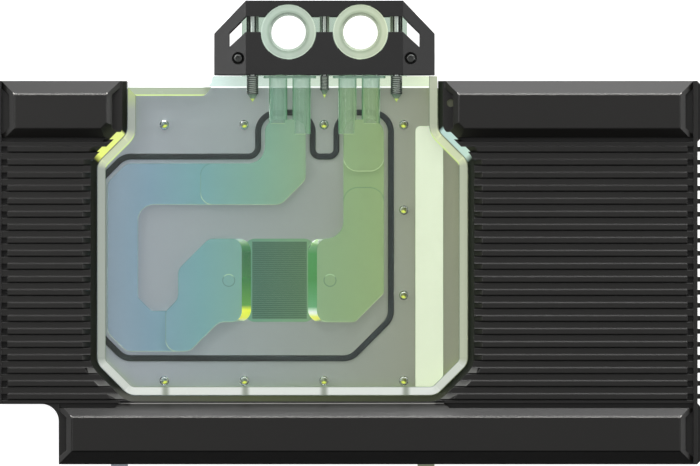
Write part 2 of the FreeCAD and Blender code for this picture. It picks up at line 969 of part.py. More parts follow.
def make_cover_screw(x, y):
    seat = cover_screw_seat()
    top = seat + cover_screw_head_height
    shank = post(x, y, cover_screw_core, seat - cover_screw_length + thread_clearance, seat)
    head = post(x, y, cover_screw_head, seat, top)
    crown = [edge for edge in head.Edges if edge.BoundBox.ZMin > top - 0.01 and edge.BoundBox.XLength > 1]
    head = head.makeFillet(cover_screw_crown, crown)
    socket = hexagon(x, y, cover_screw_core * 0.8, top - cover_screw_head_height * socket_ratio, top)
    return shank.fuse(head).cut(socket).removeSplitter()


def standoff(x, y):
    points = [
        (standoff_bore, 0),
        (standoff_radius, 0),
        (standoff_radius, plate_low),
        (standoff_spigot - thread_clearance, plate_low),
        (standoff_spigot - thread_clearance, plate_low + standoff_spigot_length - thread_clearance),
        (0, plate_low + standoff_spigot_length - thread_clearance),
        (0, standoff_bore_depth),
        (standoff_bore, standoff_bore_depth),
    ]
    return turned(points, x, y)


# Light strip

def make_light_board():
    outline = grow(slot_outline(), -light_clearance)
    return prism(outline, plate_high, plate_high + light_board_thickness)


def light_places():
    low = -window_bottom + slot_end_margin + socket_length + light_size
    high = slot_top - window_cut
    step = (high - low) / (light_count - 1)
    middle = slot_left + slot_width / 2
    return [(middle, low + step * index) for index in range(light_count)]


def make_lights():
    chips = []
    low = plate_high + light_board_thickness
    half = light_size / 2
    for x, y in light_places():
        chip = box(x - half, x + half, y - half, y + half, low, low + light_thickness)
        lens = post(x, y, half * 0.8, low + light_thickness * 0.6, low + light_thickness)
        chips.append(chip.cut(lens))
    return Part.makeCompound(chips)


def make_light_socket():
    low_y = -window_bottom + slot_end_margin + light_clearance + socket_wall
    high_y = low_y + socket_length
    middle = slot_left + slot_width / 2 - socket_offset
    low = plate_high + light_board_thickness
    high = low + socket_height
    left = middle - socket_width / 2
    right = middle + socket_width / 2
    wall = socket_wall
    body = box(left, right, low_y, high_y, low, high)
    inner = box(left + wall, right - wall, low_y, high_y - 2 * wall, low + wall, high - wall)
    pins = []
    for step in (-socket_pin_pitch, 0, socket_pin_pitch):
        x = middle + step
        centre = low + socket_height / 2
        half = socket_pin / 2
        pins.append(box(x - half, x + half, low_y + wall, high_y - wall, centre - half, centre + half))
    return body.cut(inner).fuse(pins).removeSplitter()


def make_diffuser():
    outline = grow(slot_outline(), -light_clearance)
    return prism(outline, slot_high - diffuser_thickness, slot_high)


# Shroud

def shroud_outline(inset=0):
    outer = [
        (-shroud_left, -left_foot_y, 0),
        (-left_foot_x, -left_foot_y, left_foot_round),
        (-left_foot_x, -shroud_bottom, 0),
        (shroud_right, -shroud_bottom, 0),
        (shroud_right, shroud_top, 0),
        (-shroud_left, shroud_top, 0),
    ]
    return grow(outer, -inset)


def raised_bar(bottom, top):
    """Bar with sloping sides and a narrow bright edge round its flat top."""
    edge = grow(top, bar_edge)
    sections = [(bottom, ledge_height), (edge, shroud_height - bar_edge_drop), (top, shroud_height)]
    return tapered(sections)


def plain_bar_outlines(x0, x1, y0, y1):
    bottom = rectangle(x0, x1, y0, y1)
    reach = bar_slope + bar_edge
    return bottom, grow(bottom, -reach)


def panel_cut(end, side, y0, y1):
    """Low flat panel let into a bar's end. side is +1 at a right-hand end."""
    start = end - side * (bar_end_slope + bar_edge - bar_end_bevel)
    far = end + side * 2 * rim_width
    spread = bar_end_slope - bar_end_bevel
    points = [
        (start, y0 + bar_slope + bar_edge, 0),
        (end, y0 + bar_slope + bar_edge - spread, 0),
        (far, y0 + bar_slope + bar_edge - spread, 0),
        (far, y1 - bar_slope - bar_edge + spread, 0),
        (end, y1 - bar_slope - bar_edge + spread, 0),
        (start, y1 - bar_slope - bar_edge, 0),
    ]
    return prism(points, ledge_height, shroud_height + 1)


def upper_bar(x0, x1, cut_side):
    """Bar along the top edge, with the corner nearest the window cut off."""
    y0, y1 = field_top, shroud_top
    reach = bar_slope + bar_edge
    foot = bar_corner_foot + bar_slope
    if cut_side > 0:
        bottom = [(x0, y0, 0), (x1 - foot, y0, 0), (x1, y0 + foot, 0), (x1, y1, 0), (x0, y1, 0)]
    else:
        bottom = [(x0 + foot, y0, 0), (x1, y0, 0), (x1, y1, 0), (x0, y1, 0), (x0, y0 + foot, 0)]
    bar = raised_bar(bottom, grow(bottom, -reach))
    panels = [panel_cut(x0, -1, y0, y1), panel_cut(x1, 1, y0, y1)]
    return bar.cut(panels)


def lower_bar():
    x0, x1 = -left_foot_x, shroud_right - end_strip
    y0, y1 = -shroud_bottom, field_bottom
    bottom, top = plain_bar_outlines(x0, x1, y0, y1)
    bar = raised_bar(bottom, top)
    return bar.cut([panel_cut(x0, -1, y0, y1), panel_cut(x1, 1, y0, y1)])


def rib_count():
    return int((rib_start - field_bottom) / rib_pitch) + 1


def rib_profile(y):
    """Section of one ridge: its upper long edge is beveled, and a groove runs below it."""
    return [
        Vector(0, y, field_height - 0.2),
        Vector(0, y, ridge_height),
        Vector(0, y + ridge_width - ridge_bevel, ridge_height),
        Vector(0, y + ridge_width, ridge_height - ridge_bevel),
        Vector(0, y + ridge_width, field_height - 0.2),
    ]


def ridges(x0, x1):
    bars = []
    for index in range(rib_count()):
        points = rib_profile(rib_start - index * rib_pitch)
        face = Part.Face(Part.makePolygon(points + points[:1]))
        face.translate(Vector(x0, 0, 0))
        bars.append(face.extrude(Vector(x1 - x0, 0, 0)))
    return bars


def shroud_bosses():
    bosses = []
    for x, y in shroud_screw_places():
        under_bar = y < field_bottom
        roof = bar_cavity if under_bar else skin_underside
        bosses.append(post(x, y, boss_radius, plate_high, roof + shroud_wall / 4))
    return bosses


def window_ramps(tall):
    """Each ridge slopes down to the band round the window, in a pocket of its own width."""
    past = 2 * shroud_top
    outer = grow(window_outline(past), ridge_inset + tall - ridge_height)
    inner = grow(window_outline(past), ridge_inset - ramp_drop)
    basin = tapered([(inner, ramp_low), (outer, tall)])
    pockets = []
    for index in range(rib_count()):
        y = rib_start - index * rib_pitch
        slab = box(-shroud_left, shroud_right, y, y + ridge_width - ridge_bevel, ramp_low, tall)
        pockets += basin.common(slab).Solids
    return pockets


def foot_grooves(inner_left, inner_right):
    """Deep shadow lines along the feet of the bars, with slanted ends near the window."""
    floor = field_height - groove_depth
    tall = field_height + 0.1
    lean = foot_groove
    left = -foot_groove_reach
    right = foot_groove_reach + window_right - window_left
    upper = [
        [(inner_left, field_top, 0), (left, field_top, 0), (left + lean, field_top + lean, 0),
         (inner_left, field_top + lean, 0)],
        [(right, field_top, 0), (inner_right, field_top, 0), (inner_right, field_top + lean, 0),
         (right - lean, field_top + lean, 0)],
    ]
    lower = [
        [(-left_foot_x, field_bottom - lean, 0), (-low_groove_left - lean, field_bottom - lean, 0),
         (-low_groove_left, field_bottom, 0), (-left_foot_x, field_bottom, 0)],
        [(low_groove_right + lean, field_bottom - lean, 0), (inner_right, field_bottom - lean, 0),
         (inner_right, field_bottom, 0), (low_groove_right, field_bottom, 0)],
    ]
    return [prism(outline, floor, tall + lean) for outline in upper + lower]


def window_surround(past_top, tall):
    """Leaning band round the window, wider beside the ribs and at two steps of each upper corner."""
    high = lip_height + band_slope * (notch_reach - window_fit)
    opening = grow(window_outline(past_top), window_fit)
    mouth = grow(window_outline(past_top), notch_reach)
    basin = tapered([(opening, lip_height), (mouth, high)]).fuse(prism(mouth, high, tall)).removeSplitter()
    rows = [(field_top + notch_low, field_top + notch_high)]
    rows.append((rib_start, rib_start + ridge_width - ridge_bevel))
    limits = [prism(grow(window_outline(past_top), rim_band), lip_height, tall)]
    beside_ribs = prism(grow(window_outline(past_top), window_band), lip_height, tall)
    below = box(-shroud_left, shroud_right, -shroud_bottom, rib_start, lip_height, tall)
    limits.append(beside_ribs.common(below))
    for low, high in rows:
        limits.append(box(-shroud_left, shroud_right, low, high, lip_height, tall))
    return [basin.common(limit) for limit in limits]


def make_shroud():
    inner_left = -shroud_left + end_strip
    inner_right = shroud_right - end_strip
    strip_low = -left_foot_y
    raised_low = ledge_height - 1
    tall = shroud_height + 2

    skin = prism(shroud_outline(), 0, ledge_height)
    skin = skin.cut(prism(shroud_outline(shroud_wall), 0, skin_underside))

    field = box(inner_left, inner_right, field_bottom, field_top, raised_low, field_height)
    left_strip = box(-shroud_left, inner_left, strip_low, shroud_top, raised_low, end_strip_height)
    right_strip = box(inner_right, shroud_right, -shroud_bottom, shroud_top, raised_low, end_strip_height)
    left_bar = upper_bar(inner_left, -shoulder_left - rim_width, 1)
    right_bar = upper_bar(shoulder_right + rim_width, inner_right, -1)
    body = skin.fuse([field, left_strip, right_strip, left_bar, right_bar, lower_bar()])

    ridge_bars = Part.makeCompound(ridges(inner_left + ridge_end, inner_right - ridge_end))
    ridge_window = prism(grow(window_outline(2 * shroud_top), window_band), ledge_height, tall)
    body = body.fuse(ridge_bars.cut(ridge_window).Solids)
    body = body.cut(window_ramps(tall))
    body = body.cut(foot_grooves(inner_left, inner_right))

    cutters = []
    for index in range(rib_count()):
        y = rib_start - index * rib_pitch
        floor = field_height - groove_depth
        cutters.append(box(inner_left, inner_right, y - rib_groove, y, floor, field_height + 0.1))
    body = body.cut(cutters)

    pockets = []
    for index in range(rib_count()):
        y = rib_start - index * rib_pitch
        high = y + ridge_width - ridge_bevel
        for x0 in (inner_left, inner_right - ridge_end):
            pockets.append(box(x0, x0 + ridge_end, y, high, field_height - end_pocket_depth, tall))
    body = body.cut(pockets)

    cavities = [
        (inner_left, -shoulder_left - cavity_inset, field_top, shroud_top),
        (shoulder_right + cavity_inset, inner_right, field_top, shroud_top),
        (-left_foot_x + cavity_inset, inner_right, -shroud_bottom, field_bottom),
    ]
    for x0, x1, y0, y1 in cavities:
        inset = cavity_inset
        hollow = box(x0 + inset, x1 - inset, y0 + inset, y1 - inset, skin_underside, bar_cavity)
        body = body.cut(hollow)

    past_top = shroud_top + window_fit
    window = prism(grow(window_outline(past_top), window_fit), skin_underside - 1, lip_height)
    sill_top = -window_bottom - window_band + bar_edge_drop
    sill = box(-low_groove_left, low_groove_right, field_bottom, sill_top, ledge_height, tall)
    gap_left = -shoulder_left - window_fit
    gap_right = shoulder_right + window_fit
    side_gap = box(gap_left, gap_right, field_top, past_top, 0, skin_underside)
    body = body.cut([window, side_gap, sill])
    for cutter in window_surround(past_top, tall):
        body = body.cut(cutter)

    body = body.fuse(shroud_bosses())
    body = body.fuse(end_stubs())
    holes = []
    for x, y in shroud_screw_places():
        end = plate_low + shroud_screw_length
        core = small_screw_core + thread_clearance
        holes.append(turned([(0, plate_high), (core, plate_high), (core, end), (0, end + drill_tip)], x, y))
    roof = plate_high + plate_fit
    for centre in (-lug_left_x, lug_right_x):
        half = lug_width / 2 + plate_fit
        holes.append(box(centre - half, centre + half, -shroud_bottom, -plate_bottom, 0, roof))
    holes.append(post(sight_hole_x, sight_hole_y, sight_hole_radius, skin_underside, ledge_height + 1))
    return body.cut(holes).removeSplitter()


def end_stubs():
    """Fin ends that reach past the right-hand wall, and the solid corners above and below them."""
    x0, x1 = shroud_right, shroud_right + stub_reach
    stubs = []
    for index in range(rib_count()):
        y = rib_start - index * rib_pitch
        stubs.append(box(x0, x1, y, y + ridge_width - ridge_bevel, stub_low, stub_high))
    for y0, y1 in ((field_top, shroud_top), (-shroud_bottom, field_bottom)):
        corner = [(x0, y0, 0), (x1, y0 + stub_reach, 0), (x1, y1 - stub_reach, 0), (x0, y1, 0)]
        stubs.append(prism(corner, stub_low, stub_high))
    return stubs


# Thermal pads on the underside

def thermal_pad(x, y, width, length, thickness):
    outline = rectangle(x - width / 2, x + width / 2, y - length / 2, y + length / 2, pad_corner)
    return prism(outline, plate_low - thickness, plate_low)


def shifted(shape):
    """Moves a piece so that the middle of the part's base is at the origin."""
    middle_x = (shroud_right + stub_reach - shroud_left) / 2
    middle_y = (cover_top_y - lug_bottom) / 2
    moved = shape.copy()
    moved.translate(Vector(-middle_x, -middle_y, 0))
    return moved


def make_pieces():
    pieces = {
        "cold_plate": make_cold_plate(),
        "flow_top": make_flow_top(),
        "main_gasket": make_main_gasket(),
        "shroud": make_shroud(),
        "terminal_block": make_terminal_block(),
        "terminal_cover_front": make_front_cover(),
        "terminal_cover_rear": make_rear_cover(),
        "light_board": make_light_board(),
        "light_chips": make_lights(),
        "light_socket": make_light_socket(),
        "light_diffuser": make_diffuser(),
    }
    for name, middle in zip(("left", "right"), drill_mid):
        pieces["terminal_gasket_" + name] = make_terminal_gasket(middle)
    for name, row in zip(("left", "middle", "right"), terminal_screw_rows()):
        pieces["terminal_screw_" + name] = cap_screw(*row)
    for name, (x, y) in zip(("left", "right"), cover_screw_places()):
        pieces["cover_screw_" + name] = make_cover_screw(x, y)
    screws = []
    for x, y in top_screw_places():
        screws.append(flat_screw(x, y, top_screw_core, top_screw_head, top_screw_length))
    pieces["flow_top_screws"] = Part.makeCompound(screws)
    screws = []
    for x, y in shroud_screw_places():
        screws.append(flat_screw(x, y, small_screw_core, small_screw_head, shroud_screw_length))
    pieces["shroud_screws"] = Part.makeCompound(screws)
    pieces["chip_standoffs"] = Part.makeCompound([standoff(x, y) for x, y in chip_hole_places()])
    pieces["edge_standoffs"] = Part.makeCompound([standoff(x, y) for x, y in edge_hole_places()])
    side = chip_pad_x / 2 + memory_pad_gap + memory_pad_width / 2
    reach = chip_pad_y / 2 + memory_pad_gap + memory_row_depth / 2
    pieces["memory_pad_left"] = thermal_pad(-side, 0, memory_pad_width, memory_pad_length, memory_pad)
    pieces["memory_pad_right"] = thermal_pad(side, 0, memory_pad_width, memory_pad_length, memory_pad)
    pieces["memory_pad_top"] = thermal_pad(0, reach, memory_row_width, memory_row_depth, memory_pad)
    pieces["power_pad_left"] = thermal_pad(-side_pad_x, 0, side_pad_width, side_pad_length, power_pad)
    pieces["power_pad_right"] = thermal_pad(power_pad_x, 0, power_pad_width, power_pad_length, power_pad)
    return pieces


os.makedirs("parts", exist_ok=True)
for node, piece in make_pieces().items():
    shifted(piece).exportStep(os.path.join("parts", node + ".step"))
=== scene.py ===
import math

import bmesh
import bpy
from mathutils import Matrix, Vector


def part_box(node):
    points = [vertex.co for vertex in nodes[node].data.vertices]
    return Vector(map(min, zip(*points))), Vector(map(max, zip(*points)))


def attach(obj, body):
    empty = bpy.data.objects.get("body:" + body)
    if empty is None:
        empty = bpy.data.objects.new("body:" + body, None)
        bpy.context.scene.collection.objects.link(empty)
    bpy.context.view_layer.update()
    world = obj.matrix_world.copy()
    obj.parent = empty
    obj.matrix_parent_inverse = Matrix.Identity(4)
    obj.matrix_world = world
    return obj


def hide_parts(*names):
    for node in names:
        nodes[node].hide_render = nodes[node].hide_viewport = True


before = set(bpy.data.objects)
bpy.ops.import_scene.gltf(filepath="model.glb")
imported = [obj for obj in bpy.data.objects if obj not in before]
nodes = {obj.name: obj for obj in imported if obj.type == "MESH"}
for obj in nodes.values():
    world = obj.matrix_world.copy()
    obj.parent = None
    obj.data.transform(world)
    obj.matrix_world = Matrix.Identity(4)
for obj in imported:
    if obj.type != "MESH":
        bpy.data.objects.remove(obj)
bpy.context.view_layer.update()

MM = 0.001

# The CAD source measures from the chip contact's centre, which lies here in the row frame. The
# places below are in mm from it, and the heights in mm from the rear plane.
CHIP_X = -24.0
CHIP_Y = -15.3
ORIGIN = {"X": CHIP_X, "Y": CHIP_Y, "Z": 0.0}

# Heights
PLATE_TOP = 8.0
TOP_FACE = 21.0
MID = 14.5

# Places along Y: the plate's upper edge, the neck's top and the ports
PLATE_END = 65.6
NECK_TOP = 69.5
PORT_Y = 84.46

# The ports lie to both sides of a middle line; their pipe thread has 19 turns an inch.
PORT_MID = 15.35
PORT_HALF = 12.25
PORT_PITCH = 1.337

# Blind holes of the screws that hold the flow top, as x and y
SCREW_HOLES = [(-39.2 + 27.2 * i, y) for i in range(4) for y in (-34.2, 53.01)]
SCREW_HOLES += [(42.4, -34.2 + 29.07 * i) for i in (1, 2)]

# Blind holes of the terminal's screws, as x, radius and the y where the tapered end starts
TERMINAL_HOLES = [(-9.15, 2.0, 63.4), (PORT_MID, 1.5, 64.8), (39.85, 2.0, 63.4)]

BLACK = (0.0, 0.0, 0.0)


# Node helpers

def level(axis, place):
    """Coordinate in metres of a place in mm from the chip's centre."""
    return (ORIGIN[axis] + place) * MM


def map_range(tree, value, low, high, to_low, to_high, smooth):
    node = tree.nodes.new("ShaderNodeMapRange")
    if smooth:
        node.interpolation_type = "SMOOTHSTEP"
    ends = (("From Min", low), ("From Max", high), ("To Min", to_low), ("To Max", to_high))
    for key, number in ends:
        node.inputs[key].default_value = number
    tree.links.new(value, node.inputs["Value"])
    return node.outputs["Result"]


class Shader:
    """A Principled material with short calls for the nodes that these finishes share."""

    def __init__(self, name):
        self.material = bpy.data.materials.new(name)
        self.material.use_nodes = True
        self.tree = self.material.node_tree
        self.bsdf = self.tree.nodes["Principled BSDF"]
        self.coords = self.add("ShaderNodeTexCoord").outputs["Object"]

    def add(self, kind, **settings):
        node = self.tree.nodes.new(kind)
        for key, value in settings.items():
            setattr(node, key, value)
        return node

    def link(self, source, target):
        self.tree.links.new(source, target)

    # What goes into the Principled shader

    def put(self, **values):
        for key, value in values.items():
            self.bsdf.inputs[key.replace("_", " ")].default_value = value
        return self

    def to(self, key, value):
        self.link(value, self.bsdf.inputs[key])
        return self

    def roughness(self, pattern, low, high):
        """Roughness between two values, as a noise pattern goes."""
        return self.to("Roughness", self.span(pattern, 0.3, 0.7, low, high))

    def glow(self, colour, strength):
        if isinstance(colour, tuple):
            self.put(Emission_Color=(*colour, 1.0))
        else:
            self.to("Emission Color", colour)
        return self.put(Emission_Strength=strength)

    def bump(self, height, strength, distance, edge=None):
        node = self.add("ShaderNodeBump")
        node.inputs["Strength"].default_value = strength
        node.inputs["Distance"].default_value = distance
        self.link(height, node.inputs["Height"])
        if edge:
            round_edge = self.add("ShaderNodeBevel", samples=4)
            round_edge.inputs["Radius"].default_value = edge
            self.link(round_edge.outputs[0], node.inputs["Normal"])
        self.to("Normal", node.outputs[0])

    # Patterns and colours

    def scaled(self, x, y, z):
        node = self.add("ShaderNodeMapping")
        node.inputs["Scale"].default_value = (x, y, z)
        self.link(self.coords, node.inputs["Vector"])
        return node.outputs["Vector"]

    def noise(self, scale, detail, vector=None):
        node = self.add("ShaderNodeTexNoise")
        node.inputs["Scale"].default_value = scale
        node.inputs["Detail"].default_value = detail
        self.link(vector or self.coords, node.inputs["Vector"])
        return node.outputs["Fac"]

    def ramp(self, value, stops):
        node = self.add("ShaderNodeValToRGB")
        band = node.color_ramp.elements
        while len(band) < len(stops):
            band.new(0.5)
        for element, (place, colour) in zip(band, stops):
            element.position = place
            element.color = (*colour, 1.0)
        self.link(value, node.inputs["Fac"])
        return node.outputs["Color"]

    def mix(self, factor, one, two, blend="MIX"):
        node = self.add("ShaderNodeMix", data_type="RGBA", blend_type=blend)
        sockets = node.inputs[0], node.inputs[6], node.inputs[7]
        for socket, value in zip(sockets, (factor, one, two)):
            if isinstance(value, (int, float)):
                socket.default_value = value
            elif isinstance(value, tuple):
                socket.default_value = (*value, 1.0)
            else:
                self.link(value, socket)
        return node.outputs[2]

    def near_edge(self, radius, outer=0.98, inner=0.82):
        """Near 1 close to a sharp edge, and the Y part of the rounded normal there."""
        flat = self.add("ShaderNodeNewGeometry").outputs["True Normal"]
        round_edge = self.add("ShaderNodeBevel", samples=6)
        round_edge.inputs["Radius"].default_value = radius
        dot = self.add("ShaderNodeVectorMath", operation="DOT_PRODUCT")
        self.link(flat, dot.inputs[0])
        self.link(round_edge.outputs[0], dot.inputs[1])
        split = self.add("ShaderNodeSeparateXYZ")
        self.link(round_edge.outputs[0], split.inputs[0])
        return self.span(dot.outputs["Value"], outer, inner), split.outputs["Y"]

    def facing(self, axis, smooth=True):
        """How much the surface looks along one axis, from -1 to 1."""
        node = self.add("ShaderNodeNewGeometry")
        split = self.add("ShaderNodeSeparateXYZ")
        self.link(node.outputs["Normal" if smooth else "True Normal"], split.inputs[0])
        return split.outputs[axis]

    def flank(self, low, high):
        """Rises on the sides of a bore along Y, where its wall stands upright."""
        return self.span(self.math("ABSOLUTE", self.facing("X")), low, high)

    # Sums with numbers and places; a place is in mm from the chip's centre

    def math(self, operation, one, two=None):
        node = self.add("ShaderNodeMath", operation=operation)
        for index, value in enumerate((one, two)):
            if value is None:
                continue
            if isinstance(value, (int, float)):
                node.inputs[index].default_value = value
            else:
                self.link(value, node.inputs[index])
        return node.outputs[0]

    def times(self, one, two):
        return self.math("MULTIPLY", one, two)

    def length(self, one, two):
        """Long side of a right triangle with these two short sides."""
        return self.math("SQRT", self.math("ADD", self.times(one, one), self.times(two, two)))

    def span(self, value, low, high, to_low=0.0, to_high=1.0, smooth=False):
        return map_range(self.tree, value, low, high, to_low, to_high, smooth)

    def axis(self, name):
        node = self.add("ShaderNodeSeparateXYZ")
        self.link(self.coords, node.inputs[0])
        return node.outputs[name]

    def reach(self, axis, low, high, to_low=0.0, to_high=1.0):
        """Goes from one value to another between two places on an axis."""
        return self.span(self.axis(axis), level(axis, low), level(axis, high), to_low, to_high)

    def past(self, axis, place):
        return self.math("GREATER_THAN", self.axis(axis), level(axis, place))

    def before(self, axis, place):
        return self.math("LESS_THAN", self.axis(axis), level(axis, place))

    def offset(self, axis, place):
        return self.math("SUBTRACT", self.axis(axis), level(axis, place))

    def gap(self, axis, place):
        return self.math("ABSOLUTE", self.offset(axis, place))


def srgb(red, green, blue):
    """A colour given in display values from 0 to 255, as the linear colour that a shader takes."""
    linear = []
    for value in (red, green, blue):
        share = value / 255
        linear.append(share / 12.92 if share <= 0.04045 else ((share + 0.055) / 1.055) ** 2.4)
    return tuple(linear)


def scale_shade(shade, factor):
    return tuple(part * factor for part in shade)


# Black finishes

def anodised(name, shade, rough, edge=0.00012, line=0.0):
    """Satin black; line is the height in mm above which edges that look to +Y get a pale painted
    highlight.

    With it goes a painted highlight line along the top of the lower bar.
    """
    s = Shader(name)
    grain = s.noise(2600, 2)
    tone = s.mix(s.noise(22, 2), scale_shade(shade, 0.85), scale_shade(shade, 1.2))
    if line:
        # Painted highlight: edges that look to +Y above the given height turn pale, as if they
        # caught the light.
        mask, rise = s.near_edge(0.0005, 0.99, 0.95)
        edge_highlight = s.times(s.times(mask, s.span(rise, 0.1, 0.25)), s.past("Z", line))
        tone = s.mix(edge_highlight, tone, (0.8, 0.78, 0.74))
        # Painted highlight: a pale line along the top of the lower bar.
        across = s.math("LESS_THAN", s.gap("Y", -41.87), 0.17 * MM)
        within = s.math("LESS_THAN", s.gap("X", 0.5), 55.5 * MM)
        tone = s.mix(s.times(across, within), tone, (0.17, 0.168, 0.16))
    s.to("Base Color", tone)
    s.roughness(grain, rough - 0.04, rough + 0.06)
    s.bump(grain, 0.12, 0.00002, edge)
    return s.put(Metallic=0.0, IOR=1.45)


def corner_light(s, x, y, operation, shift, reach, side, dim, foot, head):
    """Painted light on the band at one upper cut corner: a lit part along the diagonal in a dim
    side.

    reach says where along the diagonal the light starts, is full, fades and is gone, in mm.
    """
    low, full, fade, gone = ((shift + place) * MM for place in reach)
    run = s.math(operation, y, x)
    lit = s.times(s.span(run, low, full), s.span(run, gone, fade))
    lit = s.times(s.times(lit, s.past("Y", 38)), side)
    colour = s.mix(s.span(run, low, gone), foot, head)
    return s.mix(lit, s.mix(s.times(side, 0.5), BLACK, dim), colour)


def window_band():
    """Narrow slope of the shroud beside the window, whose colour glows as painted light: from the
    strip at the upper cut corners, and along its foot.
    """
    s = anodised("window_band", (0.008, 0.008, 0.007), 0.42)
    x, y = s.axis("X"), s.axis("Y")
    left = corner_light(s, x, y, "ADD", CHIP_X + CHIP_Y, (-21.8, -18.6, -3.4, -2.2),
                        s.before("X", 0), srgb(14, 20, 4), srgb(243, 254, 124), srgb(230, 244, 146))
    right = corner_light(s, x, y, "SUBTRACT", CHIP_Y - CHIP_X, (-24.2, -21.4, -4.6, -3.0),
                         s.past("X", 0), srgb(24, 32, 18), srgb(198, 226, 208), srgb(186, 218, 212))
    # Painted light along the band's foot, paler to the left.
    foot = s.ramp(s.reach("X", -50, 54), [
        (0.0, srgb(82, 83, 76)), (0.4, srgb(76, 82, 56)), (1.0, srgb(48, 52, 36))])
    tone = s.mix(s.reach("Y", -36, -39.5), s.mix(1.0, left, right, "ADD"), foot)
    # Painted shade: a dark line at the very foot of the band.
    tone = s.mix(s.reach("Y", -40.95, -41.1, 0.0, 0.55), tone, BLACK)
    return s.put(Specular_IOR_Level=0.25).glow(tone, 1.0)


# Clear and tinted acrylic

def clear(name, colour, rough=0.015):
    s = Shader(name)
    s.roughness(s.noise(900, 2), rough * 0.7, rough * 1.4)
    return s.put(Base_Color=(*colour, 1.0), Transmission_Weight=1.0, IOR=1.49)


def neck_floor():
    """Underside of the acrylic: clear over the plate, with a mint tint past the plate that stands
    for painted light from the strip.
    """
    s = clear("acrylic_underside", (1.0, 1.0, 1.0))
    mint = s.ramp(s.reach("X", -23, 54), [(0.0, srgb(146, 177, 168)), (1.0, srgb(177, 199, 150))])
    mint = s.mix(s.before("Y", 66.15), mint, (0.86, 0.92, 0.88))
    return s.to("Base Color", s.mix(s.past("Y", PLATE_END), (0.985, 0.995, 0.985), mint))


def bevel_finish():
    """Polished slope round the window, with a painted reflection of another part of the room on
    each side, and a glow of the same colours as painted light.
    """
    s = Shader("bevel_acrylic")
    across, along = s.facing("X"), s.facing("Y")
    left, right = s.span(across, -0.1, -0.7), s.span(across, 0.1, 0.7)
    bottom, top = s.span(along, -0.1, -0.7), s.span(along, 0.1, 0.7)
    tone = s.mix(left, srgb(140, 152, 131), srgb(149, 156, 148))
    tone = s.mix(right, tone, srgb(163, 170, 149))
    tone = s.mix(bottom, tone, srgb(214, 219, 213))
    tone = s.mix(s.times(top, s.math("ADD", left, right)), tone, srgb(208, 218, 172))
    # Painted light from the strip: lime towards the top of the left side.
    tone = s.mix(s.times(left, s.reach("Y", 58, 64)), tone, srgb(164, 180, 128))
    # Painted shade as a dark line at the inner edge, and painted light from the strip as a lime
    # line inside it along the top
    tone = s.mix(s.times(s.reach("Z", 20.7, 20.8), 0.7), tone, srgb(84, 102, 86))
    lime = s.span(s.times(s.reach("Z", 20.58, 20.8), top), 0.1, 0.35)
    tone = s.mix(lime, tone, srgb(186, 210, 122))
    # Painted reflections of the screw holes as dark spots below their lower row
    for place in (-38.73, -11.56, 15.2, 43.1):
        spot = s.span(s.gap("X", place), 1.9 * MM, 0.2 * MM, 0.0, 0.75, smooth=True)
        tone = s.mix(s.times(spot, bottom), tone, srgb(112, 122, 104))
    s.to("Base Color", s.mix(0.7, tone, BLACK))
    s.roughness(s.noise(420, 3), 0.2, 0.28)
    s.put(Transmission_Weight=0.05, IOR=1.3, Specular_IOR_Level=0.2)
    return s.glow(tone, 0.95)


def film(name, tint, alpha, strength, line=0.0):
    """Thin skin on a face inside the acrylic, which lets what lies below show through and glows in
    its colour as painted light.

    line is the width in metres of the lines at its edges, painted as highlights on the edges that
    look one way along Y and as shade on the others.
    """
    s = Shader(name)
    tone = tint(s)
    if line:
        mask, rise = s.near_edge(line)
        edge = s.mix(s.span(rise, 0.05, -0.25), srgb(64, 104, 80), srgb(206, 226, 176))
        tone = s.mix(s.times(mask, 0.8), tone, edge)
        s.to("Alpha", s.span(mask, 0.0, 1.0, alpha, 0.95))
    else:
        s.put(Alpha=alpha)
    s.to("Base Color", tone)
    s.roughness(s.noise(1400, 2), 0.096, 0.144)
    return s.glow(tone, strength)


# Painted light from the strip in the chambers, from blue to green along X.
def channel_glow(s):
    return s.ramp(s.reach("X", -60, 38), [
        (0.0, srgb(134, 149, 163)), (0.16, srgb(121, 150, 165)), (0.34, srgb(114, 158, 160)),
        (0.55, srgb(122, 162, 143)), (0.75, srgb(134, 163, 124)), (1.0, srgb(138, 163, 110))])


def roof_glow(s):
    """Channel glow with a thin round mark in each chamber beside the fins, pale at its top as a
    painted highlight and dark elsewhere as painted shade.
    """
    up = s.offset("Y", 0)
    out = s.length(s.math("SUBTRACT", s.gap("X", 0), 17.24 * MM), up)
    line = s.math("ABSOLUTE", s.math("SUBTRACT", out, 2.04 * MM))
    line = s.times(s.math("LESS_THAN", line, 0.16 * MM), 0.55)
    shade = s.mix(s.span(up, 0.9 * MM, 1.7 * MM), srgb(70, 104, 88), srgb(190, 224, 176))
    return s.mix(line, channel_glow(s), shade)


def tube_glow(s):
    """Green painted light of the round drillings, paler past the plate and deeper towards their
    outlines as painted shade.
    """
    body = s.ramp(s.reach("X", -4, 35), [
        (0.0, srgb(118, 154, 136)), (0.5, srgb(126, 156, 128)), (1.0, srgb(134, 160, 116))])
    body = s.mix(s.past("Y", PLATE_END), body, srgb(156, 184, 168))
    return s.mix(s.flank(0.76, 0.98), body, srgb(56, 112, 74))


def tubes():
    s = film("drill_walls", tube_glow, 0.5, 0.62)
    return s.to("Alpha", s.span(s.flank(0.55, 0.97), 0.0, 1.0, 0.55, 0.9))


def bore_shading(s):
    """Thread of a blind screw hole, painted as dark and pale ridges of shade and highlight between
    sides darkened as painted shade.
    """
    turns = s.math("PINGPONG", s.math("DIVIDE", s.axis("Y"), 0.7 * MM), 0.5)
    ridges = s.mix(s.span(turns, 0.1, 0.4), srgb(30, 42, 34), srgb(116, 136, 120))
    return s.mix(s.flank(0.7, 0.95), ridges, srgb(42, 56, 46))


